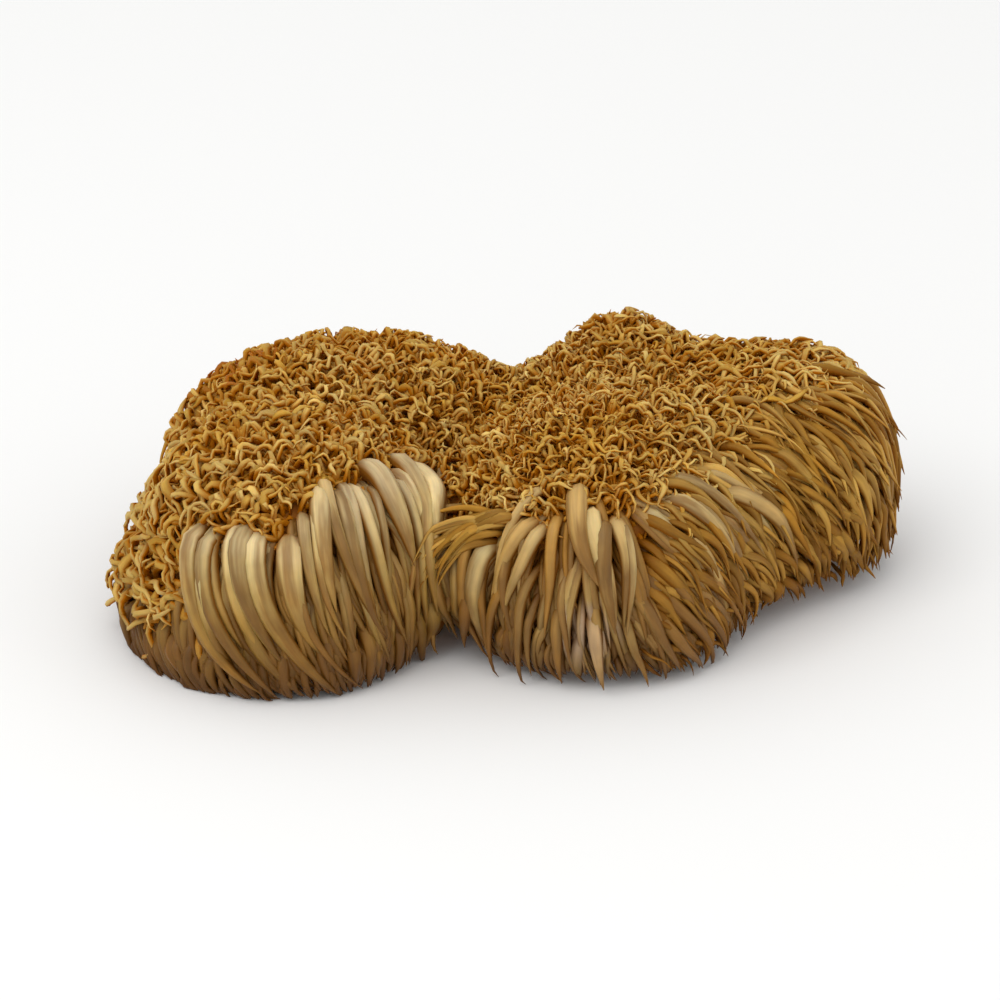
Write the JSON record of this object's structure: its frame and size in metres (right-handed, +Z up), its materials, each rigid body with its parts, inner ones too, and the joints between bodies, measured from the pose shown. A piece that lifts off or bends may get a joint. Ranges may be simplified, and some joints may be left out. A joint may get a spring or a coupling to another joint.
{
  "type": "lions mane mushroom",
  "caption": "Dried lion's mane mushroom: a low lobed cushion with curled spines on top and a mane of long hanging spines, cut flat below.",
  "frame": {"origin": "on the flat cut on which the mushroom rests, under the middle of its width and depth", "axes": "+Z up from the cut, +X along the width, to the right of the two front lobes, and -Y to the front"},
  "size_m": [0.1158, 0.076, 0.0341],
  "materials": {
    "dried_flesh": "dry, matt and fibrous: golden brown curls on top, paler cream-tan spines in the mane with darker brown tips and gaps"
  },
  "bodies": {
    "root": {"fruiting_body": "dried_flesh"}
  },
  "joints": []
}
